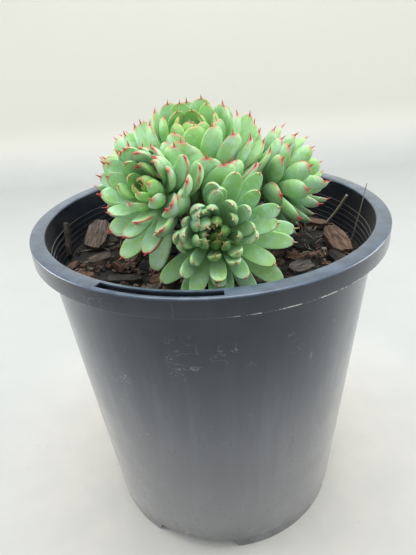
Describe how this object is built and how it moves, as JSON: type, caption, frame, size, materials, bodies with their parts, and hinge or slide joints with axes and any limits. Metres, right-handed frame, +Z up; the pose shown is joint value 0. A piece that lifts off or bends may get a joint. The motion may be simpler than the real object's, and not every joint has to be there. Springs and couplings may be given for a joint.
{
  "type": "potted succulent plant",
  "caption": "Echeveria clump of fleshy rosettes with red-tipped leaves, growing in bark mix in a round tapered nursery pot with a rolled rim.",
  "frame": {"origin": "centre of the pot's foot, on the surface that it stands on", "axes": "+Z up along the pot's axis; the lowest rosette and the rim's slot face the front, -Y"},
  "size_m": [0.2, 0.1996, 0.2603],
  "materials": {
    "charcoal_plastic": "satin moulded plastic, charcoal",
    "bark_mix": "damp composted bark, almost black",
    "stem_bark": "dry, brown and leaf-scarred",
    "rosette_crown_leaf": "glaucous green leaf with a waxy bloom, red at the tip",
    "rosette_right_leaf": "glaucous green leaf with a waxy bloom, red at the tip",
    "rosette_left_leaf": "glaucous green leaf with a waxy bloom, red at the tip",
    "rosette_front_leaf": "glaucous green leaf with a waxy bloom, red at the tip",
    "rosette_back_left_leaf": "glaucous green leaf with a waxy bloom, red at the tip",
    "rosette_back_right_leaf": "glaucous green leaf with a waxy bloom, red at the tip",
    "bark_chip_01": "rough dry bark",
    "bark_chip_02": "rough dry bark",
    "bark_chip_03": "rough dry bark",
    "bark_chip_04": "rough dry bark",
    "bark_chip_05": "rough dry bark",
    "bark_chip_06": "rough dry bark",
    "bark_chip_07": "rough dry bark",
    "bark_chip_08": "rough dry bark",
    "bark_chip_09": "rough dry bark",
    "bark_chip_10": "rough dry bark",
    "bark_chip_11": "rough dry bark",
    "bark_chip_12": "rough dry bark",
    "bark_chip_13": "rough dry bark",
    "dry_stalk": "dry, straw brown"
  },
  "bodies": {
    "root": {"pot": "charcoal_plastic", "potting_mix": "bark_mix", "stem": "stem_bark", "rosette_crown": "rosette_crown_leaf", "rosette_right": "rosette_right_leaf", "rosette_left": "rosette_left_leaf", "rosette_front": "rosette_front_leaf", "rosette_back_left": "rosette_back_left_leaf", "rosette_back_right": "rosette_back_right_leaf", "bark_chip_01": "bark_chip_01", "bark_chip_02": "bark_chip_02", "bark_chip_03": "bark_chip_03", "bark_chip_04": "bark_chip_04", "bark_chip_05": "bark_chip_05", "bark_chip_06": "bark_chip_06", "bark_chip_07": "bark_chip_07", "bark_chip_08": "bark_chip_08", "bark_chip_09": "bark_chip_09", "bark_chip_10": "bark_chip_10", "bark_chip_11": "bark_chip_11", "bark_chip_12": "bark_chip_12", "bark_chip_13": "bark_chip_13", "dry_twig": "dry_stalk", "dry_straw": "dry_stalk"}
  },
  "joints": []
}
